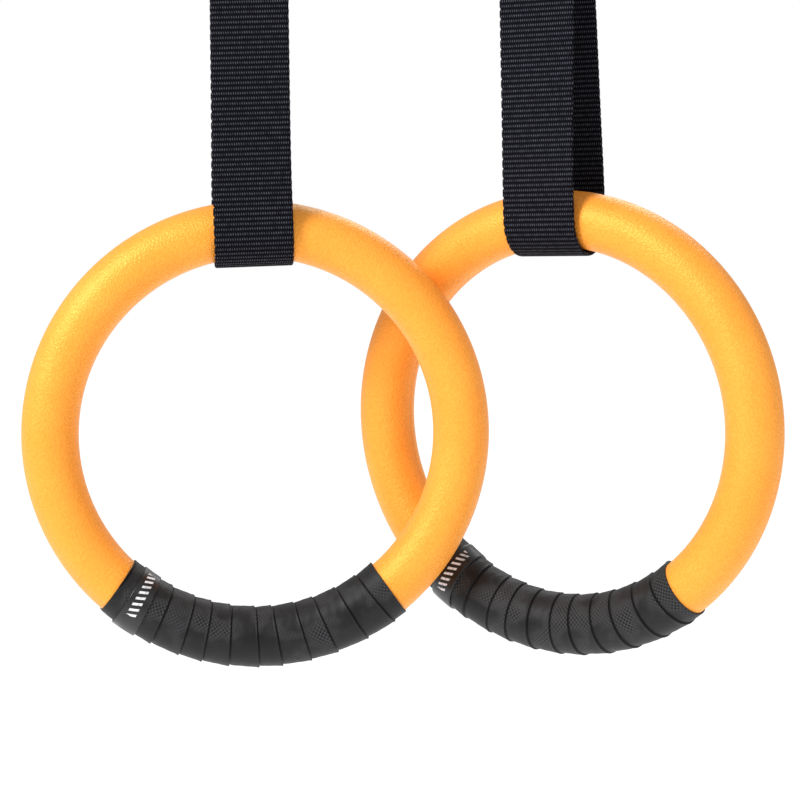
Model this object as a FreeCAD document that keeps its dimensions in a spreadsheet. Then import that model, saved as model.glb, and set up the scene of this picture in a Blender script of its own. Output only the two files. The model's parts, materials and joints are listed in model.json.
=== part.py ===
"""A pair of gymnastics rings. Each ring hangs in a loop of webbing that a cam buckle closes, on one bar.

Millimetres, +Z up. The origin is on the bar's axis, X runs along the bar and -Y is the buckles' side.
The left side is at -X. Every size below is a cell of the document's spreadsheet, under the same name.
"""

import FreeCAD, Part
import math
import os

from FreeCAD import Placement, Rotation, Vector

SIZES = {
    # ring
    "ring_outer_diameter": 236,
    "tube_diameter": 28.5,
    "ring_wall": 3.2,
    "ring_rib": 2.4,
    "seam_gap": 0.05,
    "tongue_width": 1.2,
    "tongue_height": 1.5,
    "tongue_clearance": 0.1,
    # grip
    "tape_thickness": 1.6,
    "left_tape_from": 46,
    "left_tape_to": 38.6,
    "right_tape_from": 44.7,
    "right_tape_to": 39.9,
    "strip_thickness": 0.35,
    "strip_span": 6.2,
    "strip_inset": 4.7,
    "grip_clearance": 0.05,
    # webbing
    "web_width": 38.5,
    "web_thickness": 2,
    "seat_clearance": 0.15,
    "cut_gap": 0.4,
    "bar_to_seat": 310,
    "saddle_leg": 18,
    "twist_start": 110,
    "twist_end": 182,
    "low_twist_share": 0.24,
    "twist_sections": 7,
    "wrap_span": 119,
    # placing of the two sides
    "left_strap_place": -71.3,
    "right_strap_place": 75.1,
    "left_ring_place": -77.33,
    "right_ring_place": 77.33,
    "left_yaw": 3.6,
    "right_yaw": -33.2,
    "left_seat_shift": 1.55,
    "right_seat_shift": -1.4,
    # buckle
    "plate_thickness": 2.5,
    "ear_thickness": 2.2,
    "side_clearance": 1.75,
    "face_clearance": 0.1,
    "pin_hole_clearance": 0.05,
    "boss_wall": 3,
    "buckle_bottom": 122,
    "plate_top": 76,
    "pin_drop": 66,
    "pin_diameter": 6,
    "rivet_head": 1.2,
    "rivet_flange": 1.6,
    "cam_drop": 84,
    "cam_reach": 11.4,
    "cam_diameter": 17.6,
    "cam_offset": 2.5,
    "cam_offset_angle": 15,
    "cam_end_clearance": 0.3,
    "cam_teeth": 14,
    "tooth_depth": 0.45,
    "teeth_from": -45,
    "teeth_to": 60,
    "tab_reach": 17,
    "tab_drop": 35,
    "tab_thickness": 3,
    "spring_wire": 0.9,
    "spring_mean_diameter": 8.2,
    "spring_turns": 4,
    "spring_pitch": 1.1,
    "spring_pocket_clearance": 0.7,
    # sewn end and free end
    "overlap_bottom": 56,
    "overlap_top": 14,
    "tail_shift": 8,
    "tail_turn": 50,
    "tail_top": 18,
    "keeper_drop": 44,
    "keeper_height": 12,
    "keeper_wall": 1.2,
    "keeper_clearance": 0.15,
    "stitch_length": 2.6,
    "stitch_thickness": 0.7,
    "stitch_pitch": 4,
    "stitch_rows": 6,
    "stitch_columns": 7,
}

X_AXIS, Y_AXIS, Z_AXIS = Vector(1, 0, 0), Vector(0, 1, 0), Vector(0, 0, 1)

doc = FreeCAD.newDocument("gymnastics_rings")
sheet = doc.addObject("Spreadsheet::Sheet", "sizes")
for row, (size_name, size_value) in enumerate(SIZES.items(), start=1):
    sheet.set(f"A{row}", size_name)
    sheet.set(f"B{row}", str(size_value))
    sheet.setAlias(f"B{row}", size_name)
doc.recompute()


def size(name):
    """A size as a number, read from the sheet."""
    return float(getattr(sheet, name))


nodes = []  # the sub-parts to write, in the order they are made


# Values worked out from the sizes.
tube_r = size("tube_diameter") / 2
ring_r = (size("ring_outer_diameter") - size("tube_diameter")) / 2
web_t = size("web_thickness")
web_w = size("web_width")
hole_r = ring_r - tube_r
seat_half = web_w / 2 + max(abs(size("left_seat_shift")), abs(size("right_seat_shift")))
# The webbing is straight across where the tube curves down, so its bend clears the tube at its edges.
seat_sag = hole_r - math.sqrt(hole_r**2 - seat_half**2)
loop_r = tube_r + seat_sag + size("seat_clearance")
run_y = loop_r + web_t / 2
seat_z = -size("bar_to_seat")
ring_z = seat_z - ring_r
joint_z = -size("bar_to_seat") + size("twist_end")
ear_inner = web_w / 2 + size("side_clearance")
ear_outer = ear_inner + size("ear_thickness")
pin_y = -(loop_r + web_t)
cam_y = -(loop_r + web_t + size("cam_reach"))
cam_z = -size("cam_drop")
plate_front = -(loop_r - size("face_clearance"))
plate_back = plate_front + size("plate_thickness")
tail_y = -(run_y + size("tail_shift"))


def keep(obj, label, placement=None):
    """Give a finished sub-part its name and place, and list it for writing."""
    obj.Label = label
    if placement is not None:
        obj.Placement = placement
    nodes.append(obj)
    return obj


# ---------------------------------------------------------------- sketch helpers


def new_body(name):
    return doc.addObject("PartDesign::Body", name)


def origin_plane(body, role):
    return next(f for f in body.Origin.OriginFeatures if f.Role == role)


def new_sketch(body, role, name):
    sketch = body.newObject("Sketcher::SketchObject", name)
    sketch.AttachmentSupport = [(origin_plane(body, role), "")]
    sketch.MapMode = "FlatFace"
    return sketch


def line(start, end):
    return Part.LineSegment(Vector(*start, 0), Vector(*end, 0))


def arc(start, middle, end):
    return Part.Arc(Vector(*start, 0), Vector(*middle, 0), Vector(*end, 0))


def circle(centre, radius):
    return Part.Circle(Vector(*centre, 0), Z_AXIS, radius)


def polyline(points, closed=True):
    ends = points[1:] + points[:1] if closed else points[1:]
    return [line(a, b) for a, b in zip(points, ends)]


def on_circle(centre, radius, degrees):
    angle = math.radians(degrees)
    return (centre[0] + radius * math.cos(angle), centre[1] + radius * math.sin(angle))


def arc_about(centre, radius, first, last):
    """The arc about a centre from one angle to another, in degrees."""
    spots = [on_circle(centre, radius, a) for a in (first, (first + last) / 2, last)]
    return arc(*spots)


def pad(body, sketch, name, length):
    """A pad that is symmetric about its sketch, as long as an expression of the sheet's sizes."""
    feature = body.newObject("PartDesign::Pad", name)
    feature.Profile = sketch
    feature.Midplane = True
    feature.setExpression("Length", length)
    return feature


# ---------------------------------------------------------------- the ring


def ring_placement(side):
    """Local Z is the ring's axis, which points to the front. Local X is the ring's right, Y is up."""
    yaw = Rotation(Z_AXIS, size(side + "_yaw"))
    place = Placement(Vector(size(side + "_ring_place"), 0, ring_z), yaw)
    return place.multiply(Placement(Vector(), Rotation(X_AXIS, 90)))


def wall_point(radius, height, sign):
    """A point on a tube circle at a height above the ring's mid-plane, outside (+1) or inside (-1)."""
    return (ring_r + sign * math.sqrt(radius**2 - height**2), height)


def half_shell_outline(front):
    """The section of one half: a C with a central rib. The front half has the tongues, the back the grooves."""
    bore_r = tube_r - size("ring_wall")
    rib = size("ring_rib") / 2
    gap = size("seam_gap") / 2
    width = size("tongue_width") / 2
    depth = size("tongue_height")
    if not front:
        width += size("tongue_clearance")
        depth += size("tongue_clearance")
    tip = gap - depth if front else gap + depth
    rib_top = (ring_r + rib, math.sqrt(bore_r**2 - rib**2))
    rib_top_in = (ring_r - rib, rib_top[1])

    def end_face(sign):
        """The wall's end at the seam, from the bore outwards, with its tongue or groove."""
        middle = ring_r + sign * (tube_r + bore_r) / 2
        near, far = middle - sign * width, middle + sign * width
        return [
            wall_point(bore_r, gap, sign),
            (near, gap),
            (near, tip),
            (far, tip),
            (far, gap),
            wall_point(tube_r, gap, sign),
        ]

    outer, inner = end_face(1), end_face(-1)
    centre = (ring_r, 0)
    bend = math.degrees(math.asin(gap / bore_r))
    rib_angle = math.degrees(math.asin(rib_top[1] / bore_r))
    parts = polyline(outer, closed=False)
    parts.append(arc(outer[-1], on_circle(centre, tube_r, 90), inner[-1]))
    parts += polyline(inner[::-1], closed=False)
    middle_angle = (bend + rib_angle) / 2
    parts.append(arc(inner[0], on_circle(centre, bore_r, 180 - middle_angle), rib_top_in))
    parts += polyline([rib_top_in, (ring_r - rib, gap), (ring_r + rib, gap), rib_top], closed=False)
    parts.append(arc(rib_top, on_circle(centre, bore_r, middle_angle), outer[0]))
    return parts


def make_ring_shell(side, front):
    body = new_body(f"{side}_{'front' if front else 'back'}_body")
    section = new_sketch(body, "XZ_Plane", body.Name + "_section")
    section.addGeometry(half_shell_outline(front), False)
    turn = body.newObject("PartDesign::Revolution", body.Name + "_turn")
    turn.Profile = section
    turn.ReferenceAxis = (section, ["V_Axis"])
    turn.Angle = 360
    place = ring_placement(side)
    if not front:
        place = place.multiply(Placement(Vector(), Rotation(X_AXIS, 180)))
    keep(body, f"{side}_ring_{'front' if front else 'back'}_shell", place)


def skin(name, inner_cell_sum, thickness_cell, first, span):
    """A partial skin round the tube: the first angle is from the ring's right, towards its top."""
    tools = []
    for kind, radius in (("outer", f"{inner_cell_sum} + sizes.{thickness_cell}"), ("bore", inner_cell_sum)):
        torus = doc.addObject("Part::Torus", f"{name}_{kind}")
        torus.setExpression("Radius1", "(sizes.ring_outer_diameter - sizes.tube_diameter) / 2")
        torus.setExpression("Radius2", radius)
        torus.setExpression("Angle3", span)
        tools.append(torus)
    cut = doc.addObject("Part::Cut", name)
    cut.Base, cut.Tool = tools
    cut.Placement = Placement(Vector(), Rotation(Z_AXIS, first))
    return cut


def make_grip(side):
    on_tube = "sizes.tube_diameter / 2 + sizes.grip_clearance"
    first = -90 - size(side + "_tape_from")
    span = f"sizes.{side}_tape_from + sizes.{side}_tape_to"
    tape = skin(f"{side}_tape", on_tube, "tape_thickness", first, span)
    turned = tape.Placement
    keep(tape, f"{side}_grip_tape", ring_placement(side).multiply(turned))
    on_tape = on_tube + " + sizes.tape_thickness + sizes.grip_clearance"
    first += size("strip_inset")
    strip = skin(f"{side}_strip", on_tape, "strip_thickness", first, "sizes.strip_span")
    turned = strip.Placement
    keep(strip, f"{side}_finishing_strip", ring_placement(side).multiply(turned))


# ---------------------------------------------------------------- the webbing


def seat_place(side):
    """The middle of the saddle, at the height of the ring tube's axis."""
    yaw = math.radians(size(side + "_yaw"))
    shift = size(side + "_seat_shift")
    return Vector(
        size(side + "_ring_place") + shift * math.cos(yaw),
        shift * math.sin(yaw),
        seat_z,
    )


def strap_place(side):
    return Placement(Vector(size(side + "_strap_place"), 0, 0), Rotation())


def web_body(name, outline):
    """A stretch of webbing padded from its outline in the vertical plane across the bar: (Y, Z) pairs."""
    body = new_body(name)
    sketch = new_sketch(body, "YZ_Plane", name + "_outline")
    sketch.addGeometry(outline, False)
    pad(body, sketch, name + "_pad", "sizes.web_width")
    return body


def make_saddle(side):
    leg = size("saddle_leg")
    inner, outer = loop_r, loop_r + web_t
    outline = [
        line((-inner, leg), (-inner, 0)),
        arc((-inner, 0), (0, -inner), (inner, 0)),
        line((inner, 0), (inner, leg)),
        line((inner, leg), (outer, leg)),
        line((outer, leg), (outer, 0)),
        arc((outer, 0), (0, -outer), (-outer, 0)),
        line((-outer, 0), (-outer, leg)),
        line((-outer, leg), (-inner, leg)),
    ]
    body = web_body(side + "_saddle_body", outline)
    place = Placement(seat_place(side), Rotation(Z_AXIS, size(side + "_yaw")))
    keep(body, side + "_strap_saddle", place)


def smooth(share):
    return share * share * (3 - 2 * share)


def run_section(side, height, front):
    """Where the middle of a run is at a height over the seat, and how it is turned there."""
    leg = size("saddle_leg")
    start, end = size("twist_start"), size("twist_end")
    share = (height - leg) / (end - leg)
    seat = seat_place(side)
    top = Vector(size(side + "_strap_place"), 0, seat.z)
    middle = seat + (top - seat) * share
    yaw = size(side + "_yaw")
    slack = size("low_twist_share") * yaw  # the small part of the twist below twist_start
    if height <= start:
        turn = yaw - slack * (height - leg) / (start - leg)
    else:
        turn = (yaw - slack) * (1 - smooth((height - start) / (end - start)))
    rotation = Rotation(Z_AXIS, turn)
    off = rotation.multVec(Vector(0, -run_y if front else run_y, 0))
    return Placement(middle + off + Vector(0, 0, height), rotation)


def make_twisted_run(side, front):
    """One run of webbing from the saddle up to where the strap hangs straight, through flat sections."""
    name = f"{side}_{'front' if front else 'back'}_run"
    steps = int(size("twist_sections"))
    start, end = size("twist_start"), size("twist_end") - size("cut_gap")
    heights = [size("saddle_leg") + size("cut_gap")]
    heights += [start + (end - start) * i / steps for i in range(steps + 1)]
    sections = []
    for i, height in enumerate(heights):
        plane = doc.addObject("Part::Plane", f"{name}_section_{i}")
        plane.setExpression("Length", "sizes.web_width")
        plane.setExpression("Width", "sizes.web_thickness")
        corner = Placement(Vector(-web_w / 2, -web_t / 2, 0), Rotation())
        plane.Placement = run_section(side, height, front).multiply(corner)
        sections.append(plane)
    loft = doc.addObject("Part::Loft", name)
    loft.Sections = sections
    loft.Solid = True
    loft.Ruled = True
    keep(loft, f"{side}_strap_{'front' if front else 'back'}_run")


def make_upper_back(side):
    """The back run above the twist, up to the bar."""
    box = doc.addObject("Part::Box", side + "_upper_back_box")
    box.setExpression("Length", "sizes.web_width")
    box.setExpression("Width", "sizes.web_thickness")
    box.setExpression("Height", "sizes.bar_to_seat - sizes.twist_end - sizes.cut_gap")
    corner = Placement(Vector(-web_w / 2, loop_r, joint_z), Rotation())
    keep(box, side + "_strap_upper_back", strap_place(side).multiply(corner))


def make_bar_wrap(side):
    """The webbing over the bar. It stops short on the side to which the strap swings up."""
    span = size("wrap_span")
    first = 0 if side == "left" else 180 - span
    last = first + span
    inner, outer = loop_r, loop_r + web_t
    outline = [
        arc_about((0, 0), inner, first, last),
        line(on_circle((0, 0), inner, last), on_circle((0, 0), outer, last)),
        arc_about((0, 0), outer, last, first),
        line(on_circle((0, 0), outer, first), on_circle((0, 0), inner, first)),
    ]
    body = web_body(side + "_wrap_body", outline)
    keep(body, side + "_strap_bar_wrap", strap_place(side))


def make_sewn_end(side):
    """The front run's top: down from the bar, round the buckle's pin and up again over itself."""
    top, fold = -size("cut_gap"), -size("overlap_bottom")
    end = -size("overlap_top")
    centre = (pin_y, -size("pin_drop"))
    bore_r = size("pin_diameter") / 2 + size("face_clearance")
    fold_r = bore_r + web_t
    rise = fold - centre[1]
    # The taper's lean: the straight line through (web_t, rise) that touches the fold's outside.
    reach = math.hypot(web_t, rise)
    lean = math.atan2(rise, web_t) - math.acos(fold_r / reach)
    touch = math.degrees(lean)
    apex = (pin_y, centre[1] + bore_r / math.sin(lean))
    outline = [
        line((pin_y + web_t, top), (pin_y + web_t, fold)),
        line((pin_y + web_t, fold), on_circle(centre, fold_r, touch)),
        arc(
            on_circle(centre, fold_r, touch),
            on_circle(centre, fold_r, -90),
            on_circle(centre, fold_r, 180 - touch),
        ),
        line(on_circle(centre, fold_r, 180 - touch), (pin_y - web_t, fold)),
        line((pin_y - web_t, fold), (pin_y - web_t, end)),
        line((pin_y - web_t, end), (pin_y, end)),
        line((pin_y, end), (pin_y, top)),
        line((pin_y, top), (pin_y + web_t, top)),
    ]
    hole = [
        line(apex, on_circle(centre, bore_r, touch)),
        arc(
            on_circle(centre, bore_r, touch),
            on_circle(centre, bore_r, -90),
            on_circle(centre, bore_r, 180 - touch),
        ),
        line(on_circle(centre, bore_r, 180 - touch), apex),
    ]
    body = web_body(side + "_sewn_body", outline + hole)
    keep(body, side + "_strap_sewn_end", strap_place(side))


def make_tail(side):
    """The front run through the buckle: up under the cam, out past the sewn end, and the free end."""
    turn = size("tail_turn")
    axle = (cam_y, cam_z)
    under = size("cam_reach") + web_t / 2
    away = size("tail_shift") / (1 - math.cos(math.radians(turn))) - under
    bend = on_circle(axle, under + away, turn)
    half = web_t / 2
    bottom, top = joint_z, -size("tail_top")
    outline = [
        line((-run_y + half, bottom), (-run_y + half, cam_z)),
        arc_about(axle, under + half, 0, turn),
        arc_about(bend, away - half, 180 + turn, 180),
        line((tail_y + half, bend[1]), (tail_y + half, top)),
        line((tail_y + half, top), (tail_y - half, top)),
        line((tail_y - half, top), (tail_y - half, bend[1])),
        arc_about(bend, away + half, 180, 180 + turn),
        arc_about(axle, under - half, turn, 0),
        line((-run_y - half, cam_z), (-run_y - half, bottom)),
        line((-run_y - half, bottom), (-run_y + half, bottom)),
    ]
    body = web_body(side + "_tail_body", outline)
    keep(body, side + "_strap_tail", strap_place(side))


def make_stitching(side):
    """Rows of single stitches that stand on the face of the sewn overlap."""
    rows, columns = int(size("stitch_rows")), int(size("stitch_columns"))
    pitch = size("stitch_pitch")
    length, thick = size("stitch_length"), size("stitch_thickness")
    free_top = -size("overlap_top") - length
    face = pin_y - web_t - size("face_clearance") / 2
    stitches = []
    for row in range(rows):
        for column in range(columns):
            box = doc.addObject("Part::Box", f"{side}_stitch_{row}_{column}")
            box.Length, box.Width, box.Height = length, thick, thick
            x = (column - (columns - 1) / 2) * pitch - length / 2
            spot = Vector(x, face - thick, free_top - row * pitch / 2)
            box.Placement = Placement(spot, Rotation())
            stitches.append(box)
    group = doc.addObject("Part::Compound", side + "_stitch_group")
    group.Links = stitches
    keep(group, side + "_stitching", strap_place(side))


def make_keeper(side):
    """A band round the strap's front run and its free end."""
    clear, wall = size("keeper_clearance"), size("keeper_wall")
    back = -(loop_r - clear)
    front = tail_y - web_t / 2 - clear
    across = web_w / 2 + clear
    body = new_body(side + "_keeper_body")
    sketch = new_sketch(body, "XY_Plane", side + "_keeper_outline")
    for grow in (0, wall):
        corners = [
            (-across - grow, front - grow),
            (across + grow, front - grow),
            (across + grow, back + grow),
            (-across - grow, back + grow),
        ]
        sketch.addGeometry(polyline(corners), False)
    pad(body, sketch, side + "_keeper_pad", "sizes.keeper_height")
    drop = Placement(Vector(0, 0, -size("keeper_drop") + size("keeper_height") / 2), Rotation())
    keep(body, side + "_strap_keeper", strap_place(side).multiply(drop))


# ---------------------------------------------------------------- the buckle


def pocket(body, sketch, name, length=None):
    """A pocket through everything, or to a depth. Its volume is compared to see that it cuts."""
    doc.recompute()
    before = body.Shape.Volume
    feature = body.newObject("PartDesign::Pocket", name)
    feature.Profile = sketch
    if length is None:
        feature.Type = 1
        feature.Midplane = True
    else:
        feature.Length = length
    doc.recompute()
    if not body.Shape.Volume < before - 1:
        raise RuntimeError(f"{name} cuts nothing")
    return feature


def make_frame(side):
    """A back plate with two ears that carry the pin above and the cam's axle in front."""
    bottom, top = -size("buckle_bottom"), -size("plate_top")
    pin = (pin_y, -size("pin_drop"))
    axle = (cam_y, cam_z)
    pin_boss = size("pin_diameter") / 2 + size("boss_wall")
    body = new_body(side + "_frame_body")
    ears = new_sketch(body, "YZ_Plane", side + "_ears")
    high = pin[1] + pin_boss
    outline = [
        line((plate_back, bottom), (plate_back, high)),
        line((plate_back, high), (pin[0], high)),
        arc((pin[0], high), on_circle(pin, pin_boss, 112), on_circle(pin, pin_boss, 135)),
        line(on_circle(pin, pin_boss, 135), on_circle(axle, pin_boss, 135)),
        arc(
            on_circle(axle, pin_boss, 135),
            on_circle(axle, pin_boss, 190),
            on_circle(axle, pin_boss, 225),
        ),
        line(on_circle(axle, pin_boss, 225), (plate_front - web_t, bottom)),
        line((plate_front - web_t, bottom), (plate_back, bottom)),
    ]
    ears.addGeometry(outline, False)
    length = "sizes.web_width + 2 * (sizes.side_clearance + sizes.ear_thickness)"
    pad(body, ears, side + "_frame_block", length)
    # The channel between the ears, in front of the back plate and above it.
    channel = new_sketch(body, "YZ_Plane", side + "_channel")
    far = cam_y - 2 * pin_boss
    channel.addGeometry(
        polyline(
            [
                (plate_front, bottom - 1),
                (plate_front, top),
                (plate_back + 1, top),
                (plate_back + 1, high + 1),
                (far, high + 1),
                (far, bottom - 1),
            ]
        ),
        False,
    )
    inside = body.newObject("PartDesign::Pocket", side + "_channel_pocket")
    inside.Profile = channel
    inside.Midplane = True
    inside.setExpression("Length", "sizes.web_width + 2 * sizes.side_clearance")
    doc.recompute()
    holes = new_sketch(body, "YZ_Plane", side + "_pin_holes")
    bore_r = size("pin_diameter") / 2 + size("pin_hole_clearance")
    holes.addGeometry([circle(pin, bore_r), circle(axle, bore_r)], False)
    pocket(body, holes, side + "_pin_bores")
    keep(body, side + "_buckle_frame", strap_place(side))


def make_pin(side, kind, place):
    """A riveted pin across the buckle: a shaft with a flat head outside each ear."""
    half = ear_outer + size("face_clearance")
    shaft_r = size("pin_diameter") / 2
    head_r = shaft_r + size("rivet_flange")
    tip = half + size("rivet_head")
    body = new_body(f"{side}_{kind}_body")
    sketch = new_sketch(body, "XZ_Plane", f"{side}_{kind}_section")
    outline = [
        (-tip, 0),
        (-tip, head_r),
        (-half, head_r),
        (-half, shaft_r),
        (half, shaft_r),
        (half, head_r),
        (tip, head_r),
        (tip, 0),
    ]
    sketch.addGeometry(polyline(outline), False)
    turn = body.newObject("PartDesign::Revolution", f"{side}_{kind}_turn")
    turn.Profile = sketch
    turn.ReferenceAxis = (sketch, ["H_Axis"])
    turn.Angle = 360
    spot = Placement(Vector(0, *place), Rotation())
    keep(body, f"{side}_{kind}", strap_place(side).multiply(spot))


def make_cam(side):
    """The eccentric cam, toothed towards the webbing, with its tab down and outwards."""
    cam_r = size("cam_diameter") / 2
    centre = on_circle((0, 0), size("cam_offset"), size("cam_offset_angle"))
    body = new_body(side + "_cam_body")
    round_part = new_sketch(body, "YZ_Plane", side + "_cam_round")
    first, last, teeth = size("teeth_from"), size("teeth_to"), int(size("cam_teeth"))
    pitch = (last - first) / teeth
    root_r = cam_r - size("tooth_depth")
    spots = []
    for i in range(teeth):
        spots.append(on_circle(centre, cam_r, first + pitch * i))
        spots.append(on_circle(centre, root_r, first + pitch * (i + 0.5)))
    spots.append(on_circle(centre, cam_r, last))
    outline = polyline(spots, closed=False)
    outline.append(arc(spots[-1], on_circle(centre, cam_r, 190), spots[0]))
    round_part.addGeometry(outline, False)
    length = "sizes.web_width + 2 * (sizes.side_clearance - sizes.cam_end_clearance)"
    pad(body, round_part, side + "_cam_block", length)
    # The tab is a plate from the cam's outer side to its tip.
    tab = new_sketch(body, "YZ_Plane", side + "_tab_outline")
    thick = size("tab_thickness")
    tip = (-size("tab_reach"), -size("tab_drop"))
    root = (-cam_r * 0.55, -cam_r * 0.2)
    run = math.hypot(tip[0] - root[0], tip[1] - root[1])
    along = ((tip[0] - root[0]) / run, (tip[1] - root[1]) / run)
    across = (-along[1] * thick / 2, along[0] * thick / 2)
    corners = [
        (root[0] + across[0], root[1] + across[1]),
        (tip[0] + across[0], tip[1] + across[1]),
        (tip[0] - across[0], tip[1] - across[1]),
        (root[0] - across[0], root[1] - across[1]),
    ]
    round_tip = (tip[0] + along[0] * thick / 2, tip[1] + along[1] * thick / 2)
    tab.addGeometry(
        [
            line(corners[0], corners[1]),
            arc(corners[1], round_tip, corners[2]),
            line(corners[2], corners[3]),
            line(corners[3], corners[0]),
        ],
        False,
    )
    pad(body, tab, side + "_tab_plate", length + " - 2 * sizes.side_clearance")
    doc.recompute()
    bore = new_sketch(body, "YZ_Plane", side + "_axle_bore")
    bore.addGeometry([circle((0, 0), size("pin_diameter") / 2 + size("pin_hole_clearance"))], False)
    pocket(body, bore, side + "_axle_pocket")
    # A round recess in one end holds the spring.
    recess = new_sketch(body, "YZ_Plane", side + "_spring_recess")
    end = web_w / 2 + size("side_clearance") - size("cam_end_clearance")
    deep = size("spring_turns") * size("spring_pitch") + 2 * size("spring_wire")
    recess.AttachmentOffset = Placement(Vector(0, 0, end), Rotation())
    recess_r = size("spring_mean_diameter") / 2 + size("spring_wire") / 2
    recess.addGeometry([circle((0, 0), recess_r + size("spring_pocket_clearance"))], False)
    pocket(body, recess, side + "_spring_pocket", length=deep)
    spot = Placement(Vector(0, cam_y, cam_z), Rotation())
    keep(body, side + "_cam_lever", strap_place(side).multiply(spot))


def make_spring(side):
    """The cam's torsion spring in the cam's recess, about the axle, each coil as a closed ring."""
    coils = []
    end = web_w / 2 + size("side_clearance") - size("cam_end_clearance") - size("spring_wire")
    for i in range(int(size("spring_turns"))):
        coil = doc.addObject("Part::Torus", f"{side}_spring_coil_{i}")
        coil.setExpression("Radius1", "sizes.spring_mean_diameter / 2")
        coil.setExpression("Radius2", "sizes.spring_wire / 2")
        coil.Placement = Placement(Vector(end - i * size("spring_pitch"), 0, 0), Rotation(Y_AXIS, 90))
        coils.append(coil)
    group = doc.addObject("Part::Compound", side + "_spring_group")
    group.Links = coils
    spot = Placement(Vector(0, cam_y, cam_z), Rotation())
    keep(group, side + "_cam_spring", strap_place(side).multiply(spot))


for side in ("left", "right"):
    make_ring_shell(side, True)
    make_ring_shell(side, False)
    make_grip(side)
    make_saddle(side)
    make_twisted_run(side, True)
    make_twisted_run(side, False)
    make_upper_back(side)
    make_bar_wrap(side)
    make_sewn_end(side)
    make_tail(side)
    make_stitching(side)
    make_keeper(side)
    make_frame(side)
    make_pin(side, "webbing_pin", (pin_y, -size("pin_drop")))
    make_pin(side, "cam_pin", (cam_y, cam_z))
    make_cam(side)
    make_spring(side)

doc.recompute()
failed = [o.Label for o in doc.Objects if "Invalid" in o.State or "Error" in o.State]
if failed:
    raise RuntimeError(f"not computed: {failed}")
for node in nodes:
    if node.Shape.isNull() or not node.Shape.isValid():
        raise RuntimeError(f"{node.Label} has no valid shape")

os.makedirs("parts", exist_ok=True)
for node in nodes:
    node.Shape.exportStep(f"parts/{node.Label}.step")
    print(f"{node.Label}: {len(node.Shape.Solids)} solid(s), {node.Shape.Volume / 1000:.2f} cm3")
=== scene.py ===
"""The looks of a pair of gymnastics rings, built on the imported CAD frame. Metres, +Z up, -Y is the front."""

import json
import math
import random

import bpy
import numpy as np
from mathutils import Matrix, Vector


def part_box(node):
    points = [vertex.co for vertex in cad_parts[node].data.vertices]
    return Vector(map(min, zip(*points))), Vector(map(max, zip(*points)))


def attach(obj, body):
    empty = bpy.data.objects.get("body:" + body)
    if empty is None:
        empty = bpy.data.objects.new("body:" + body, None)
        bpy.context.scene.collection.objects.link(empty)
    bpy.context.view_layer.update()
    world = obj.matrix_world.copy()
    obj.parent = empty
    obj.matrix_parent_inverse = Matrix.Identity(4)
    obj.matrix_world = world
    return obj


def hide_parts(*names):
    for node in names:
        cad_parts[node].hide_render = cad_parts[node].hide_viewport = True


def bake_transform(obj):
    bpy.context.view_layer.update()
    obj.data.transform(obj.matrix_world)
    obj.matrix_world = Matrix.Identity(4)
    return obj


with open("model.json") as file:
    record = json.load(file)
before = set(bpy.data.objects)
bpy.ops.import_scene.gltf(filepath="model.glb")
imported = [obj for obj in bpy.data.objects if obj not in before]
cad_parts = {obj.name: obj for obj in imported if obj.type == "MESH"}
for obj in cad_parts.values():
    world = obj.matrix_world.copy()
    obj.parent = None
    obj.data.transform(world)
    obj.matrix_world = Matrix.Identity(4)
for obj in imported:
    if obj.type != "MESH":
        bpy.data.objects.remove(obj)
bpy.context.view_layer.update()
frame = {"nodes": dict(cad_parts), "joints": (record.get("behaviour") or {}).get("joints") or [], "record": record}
joints = {j["name"]: j for j in frame["joints"]}
mounts = {m["name"]: m for m in frame["record"]["mounts"]}

MM = 0.001
SIDES = ("left", "right")

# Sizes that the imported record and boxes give.
loop_radius = mounts["left_bar_loop"]["dims"]["r_mm"] * MM
web_width = mounts["left_bar_loop"]["dims"]["length_mm"] * MM
twist_top = joints["left_twist"]["pos_m"][2]

WEB_THICK = 2.0 * MM
RUN = loop_radius + WEB_THICK / 2  # from the strap's middle plane to the middle of either run
TUBE_RADIUS = 14.25 * MM
RING_WALL = 3.2 * MM
SEAM_GAP = 0.05 * MM
GRIP_GAP = 0.05 * MM
SADDLE_LEG = 18 * MM
TWIST_START = 110 * MM  # above the seat, where most of the strap's twist begins
TWIST_LOW_SHARE = 0.24


# ------------------------------------------------------------------ meshes


def new_object(name, mesh):
    obj = bpy.data.objects.new(name, mesh)
    bpy.context.scene.collection.objects.link(obj)
    return obj


def mesh_piece(name, points, faces, uv=None, smooth=True):
    """A mesh object from points, faces and, if given, a pair of texture coordinates for each point."""
    mesh = bpy.data.meshes.new(name)
    mesh.from_pydata([tuple(p) for p in points], [], faces)
    if uv is not None:
        layer = mesh.uv_layers.new(name="metres")
        corners = np.empty(len(mesh.loops), dtype=np.int32)
        mesh.loops.foreach_get("vertex_index", corners)
        layer.data.foreach_set("uv", np.asarray(uv, dtype=np.float32)[corners].ravel())
    mesh.update()
    mesh.polygons.foreach_set("use_smooth", [smooth] * len(mesh.polygons))
    return new_object(name, mesh)


def grid_faces(rows, columns, closed_rows=False, closed_columns=True):
    """Quads over a grid of points, numbered row by row."""
    faces = []
    last_row = rows if closed_rows else rows - 1
    last_column = columns if closed_columns else columns - 1
    for i in range(last_row):
        here, there = i * columns, ((i + 1) % rows) * columns
        for j in range(last_column):
            k = (j + 1) % columns
            faces.append((here + j, here + k, there + k, there + j))
    return faces


def capped_tube(name, grid, uv):
    """A closed skin over a grid of closed loops, with a flat cap at each end."""
    rows, columns = grid.shape[:2]
    faces = grid_faces(rows, columns)
    faces.append(tuple(range(columns))[::-1])
    faces.append(tuple((rows - 1) * columns + j for j in range(columns)))
    return mesh_piece(name, grid.reshape(-1, 3), faces, uv.reshape(-1, 2))


# ------------------------------------------------------------------ materials


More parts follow.
